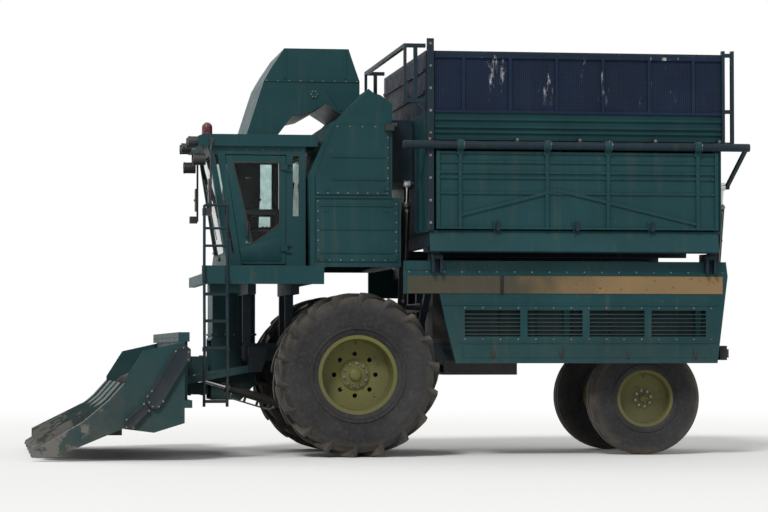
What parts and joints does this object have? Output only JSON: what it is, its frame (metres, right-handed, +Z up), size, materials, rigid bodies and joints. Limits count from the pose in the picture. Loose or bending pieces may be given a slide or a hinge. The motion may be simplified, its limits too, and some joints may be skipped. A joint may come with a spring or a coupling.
{
  "type": "cotton stripper harvester",
  "caption": "Self-propelled cotton stripper harvester with row header, cab, cotton duct, field cleaner and a tipping basket.",
  "frame": {"origin": "middle of the whole length and width, on the ground under the wheels", "axes": "+X to the rear of the machine, +Y to its right side, +Z up; row dividers point along -X"},
  "size_m": [7.9, 4.476, 4.583],
  "materials": {
    "dark_paint": "weathered dark blue-green paint",
    "green_paint": "weathered blue-green paint",
    "stripe_paint": "faded tan-yellow paint",
    "engine_iron": "oily casting",
    "black_plastic": "matt",
    "red_lens": "glossy lens",
    "seat_cloth": "woven cloth",
    "window_glass": "clear",
    "tyre_rubber": "dusty rubber",
    "rim_paint": "dull olive-yellow paint",
    "bare_steel": "worn bright",
    "black_paint": "satin",
    "bat_rubber": "worn"
  },
  "bodies": {
    "chassis": {"chassis_frame": "dark_paint", "front_axle": "dark_paint", "rear_axle": "dark_paint", "engine_block": "engine_iron", "radiator": "black_plastic", "side_shields": "green_paint", "side_stripes": "stripe_paint", "platform": "green_paint", "ladder": "dark_paint", "cab_shell": "green_paint", "cab_roof": "green_paint", "cab_glass": "window_glass", "seat": "seat_cloth", "mirrors": "black_plastic", "beacon": "red_lens", "work_lamps": "black_plastic", "intake_duct": "green_paint", "cleaner_housing": "green_paint", "cleaner_panels": "green_paint", "discharge_duct": "dark_paint", "uprights": "dark_paint", "cab_controls": "black_plastic", "tanks": "dark_paint", "tail_lamps": "red_lens"},
    "cab_door": {"cab_door": "green_paint", "door_glass": "window_glass"},
    "front_wheel_left": {"front_tyre_left": "tyre_rubber", "front_rim_left": "rim_paint"},
    "front_wheel_right": {"front_tyre_right": "tyre_rubber", "front_rim_right": "rim_paint"},
    "rear_wheel_left": {"rear_tyre_left": "tyre_rubber", "rear_rim_left": "rim_paint"},
    "rear_wheel_right": {"rear_tyre_right": "tyre_rubber", "rear_rim_right": "rim_paint"},
    "knuckle_left": {"knuckle_left": "dark_paint"},
    "knuckle_right": {"knuckle_right": "dark_paint"},
    "tie_rod": {"tie_rod": "bare_steel"},
    "header": {"header_frame": "green_paint", "row_channels": "green_paint", "row_dividers": "green_paint", "drive_cases": "dark_paint"},
    "cross_auger": {"cross_auger": "bare_steel"},
    "lift_barrels": {"lift_barrels": "black_paint"},
    "lift_rods": {"lift_rods": "bare_steel"},
    "basket": {"basket_frame": "dark_paint", "basket_floor": "green_paint", "basket_screens": "dark_paint", "basket_roof": "dark_paint"},
    "basket_door": {"basket_door": "green_paint"},
    "dump_barrels": {"dump_barrels": "black_paint"},
    "dump_rods": {"dump_rods": "bare_steel"},
    "roll_1": {"roll_1": "bat_rubber"},
    "roll_2": {"roll_2": "bat_rubber"},
    "roll_3": {"roll_3": "bat_rubber"},
    "roll_4": {"roll_4": "bat_rubber"},
    "roll_5": {"roll_5": "bat_rubber"},
    "roll_6": {"roll_6": "bat_rubber"},
    "roll_7": {"roll_7": "bat_rubber"},
    "roll_8": {"roll_8": "bat_rubber"}
  },
  "joints": [
    {"name": "front_left_spin", "type": "hinge", "parent": "chassis", "child": "front_wheel_left", "pos_m": [-0.39, -1.15, 0.9], "axis": [0, 1, 0], "continuous": true},
    {"name": "front_right_spin", "type": "hinge", "parent": "chassis", "child": "front_wheel_right", "pos_m": [-0.39, 1.15, 0.9], "axis": [0, 1, 0], "continuous": true},
    {"name": "steer_left", "type": "hinge", "parent": "chassis", "child": "knuckle_left", "pos_m": [2.91, -0.7, 0.63], "axis": [0, 0, 1], "range_deg": [-30, 30]},
    {"name": "steer_right", "type": "hinge", "parent": "chassis", "child": "knuckle_right", "pos_m": [2.91, 0.7, 0.63], "axis": [0, 0, 1], "range_deg": [-30, 30]},
    {"name": "tie_rod_turn", "type": "hinge", "parent": "knuckle_left", "child": "tie_rod", "pos_m": [3.17, -0.7, 0.54], "axis": [0, 0, 1], "range_deg": [-30, 30]},
    {"name": "rear_left_spin", "type": "hinge", "parent": "knuckle_left", "child": "rear_wheel_left", "pos_m": [2.91, -0.9, 0.63], "axis": [0, 1, 0], "continuous": true},
    {"name": "rear_right_spin", "type": "hinge", "parent": "knuckle_right", "child": "rear_wheel_right", "pos_m": [2.91, 0.9, 0.63], "axis": [0, 1, 0], "continuous": true},
    {"name": "header_lift", "type": "hinge", "parent": "chassis", "child": "header", "pos_m": [-1.43, 0, 0.975], "axis": [0, 1, 0], "range_deg": [0, 18]},
    {"name": "lift_barrel_turn", "type": "hinge", "parent": "chassis", "child": "lift_barrels", "pos_m": [-1.09, 0, 0.56], "axis": [0, 1, 0], "range_deg": [0, 9.86]},
    {"name": "lift_rod_slide", "type": "slide", "parent": "lift_barrels", "child": "lift_rods", "axis": [-0.9564, 0, 0.292], "range_m": [0, 0.08121]},
    {"name": "auger_spin", "type": "hinge", "parent": "header", "child": "cross_auger", "pos_m": [-2.66, 0, 0.64], "axis": [0, 1, 0], "continuous": true},
    {"name": "roll_1_spin", "type": "hinge", "parent": "header", "child": "roll_1", "pos_m": [-3.81, -1.606, 0.15], "axis": [0.9135, 0, 0.4067], "continuous": true},
    {"name": "roll_2_spin", "type": "hinge", "parent": "header", "child": "roll_2", "pos_m": [-3.81, -1.442, 0.15], "axis": [0.9135, 0, 0.4067], "continuous": true},
    {"name": "roll_3_spin", "type": "hinge", "parent": "header", "child": "roll_3", "pos_m": [-3.81, -0.59, 0.15], "axis": [0.9135, 0, 0.4067], "continuous": true},
    {"name": "roll_4_spin", "type": "hinge", "parent": "header", "child": "roll_4", "pos_m": [-3.81, -0.426, 0.15], "axis": [0.9135, 0, 0.4067], "continuous": true},
    {"name": "roll_5_spin", "type": "hinge", "parent": "header", "child": "roll_5", "pos_m": [-3.81, 0.426, 0.15], "axis": [0.9135, 0, 0.4067], "continuous": true},
    {"name": "roll_6_spin", "type": "hinge", "parent": "header", "child": "roll_6", "pos_m": [-3.81, 0.59, 0.15], "axis": [0.9135, 0, 0.4067], "continuous": true},
    {"name": "roll_7_spin", "type": "hinge", "parent": "header", "child": "roll_7", "pos_m": [-3.81, 1.442, 0.15], "axis": [0.9135, 0, 0.4067], "continuous": true},
    {"name": "roll_8_spin", "type": "hinge", "parent": "header", "child": "roll_8", "pos_m": [-3.81, 1.606, 0.15], "axis": [0.9135, 0, 0.4067], "continuous": true},
    {"name": "basket_dump", "type": "hinge", "parent": "chassis", "child": "basket", "pos_m": [0, -1.5, 2.2], "axis": [1, 0, 0], "range_deg": [0, 55]},
    {"name": "basket_door_open", "type": "hinge", "parent": "basket", "child": "basket_door", "pos_m": [0, -1.668, 3.41], "axis": [-1, 0, 0], "range_deg": [0, 66]},
    {"name": "dump_barrel_turn", "type": "hinge", "parent": "chassis", "child": "dump_barrels", "pos_m": [0, -0.5, 1.65], "axis": [1, 0, 0], "range_deg": [0, 25.12]},
    {"name": "dump_rod_slide", "type": "slide", "parent": "dump_barrels", "child": "dump_rods", "axis": [0, -0.2793, 0.9602], "range_m": [0, 0.58503]},
    {"name": "cab_door_open", "type": "hinge", "parent": "chassis", "child": "cab_door", "pos_m": [-1.128, -1.014, 2.7], "axis": [0, 0, 1], "range_deg": [0, 75]}
  ],
  "couplings": [
    {"joint": "steer_right", "follows": "steer_left", "ratio": 1},
    {"joint": "tie_rod_turn", "follows": "steer_left", "ratio": -1},
    {"joint": "lift_barrel_turn", "follows": "header_lift", "ratio": 0.54662},
    {"joint": "lift_rod_slide", "follows": "header_lift", "m_per_rad": 0.25787},
    {"joint": "basket_door_open", "follows": "basket_dump", "ratio": 1.2},
    {"joint": "dump_barrel_turn", "follows": "basket_dump", "ratio": 0.45637},
    {"joint": "dump_rod_slide", "follows": "basket_dump", "m_per_rad": 0.60924},
    {"joint": "roll_2_spin", "follows": "roll_1_spin", "ratio": -1},
    {"joint": "roll_3_spin", "follows": "roll_1_spin", "ratio": 1},
    {"joint": "roll_4_spin", "follows": "roll_1_spin", "ratio": -1},
    {"joint": "roll_5_spin", "follows": "roll_1_spin", "ratio": 1},
    {"joint": "roll_6_spin", "follows": "roll_1_spin", "ratio": -1},
    {"joint": "roll_7_spin", "follows": "roll_1_spin", "ratio": 1},
    {"joint": "roll_8_spin", "follows": "roll_1_spin", "ratio": -1}
  ]
}
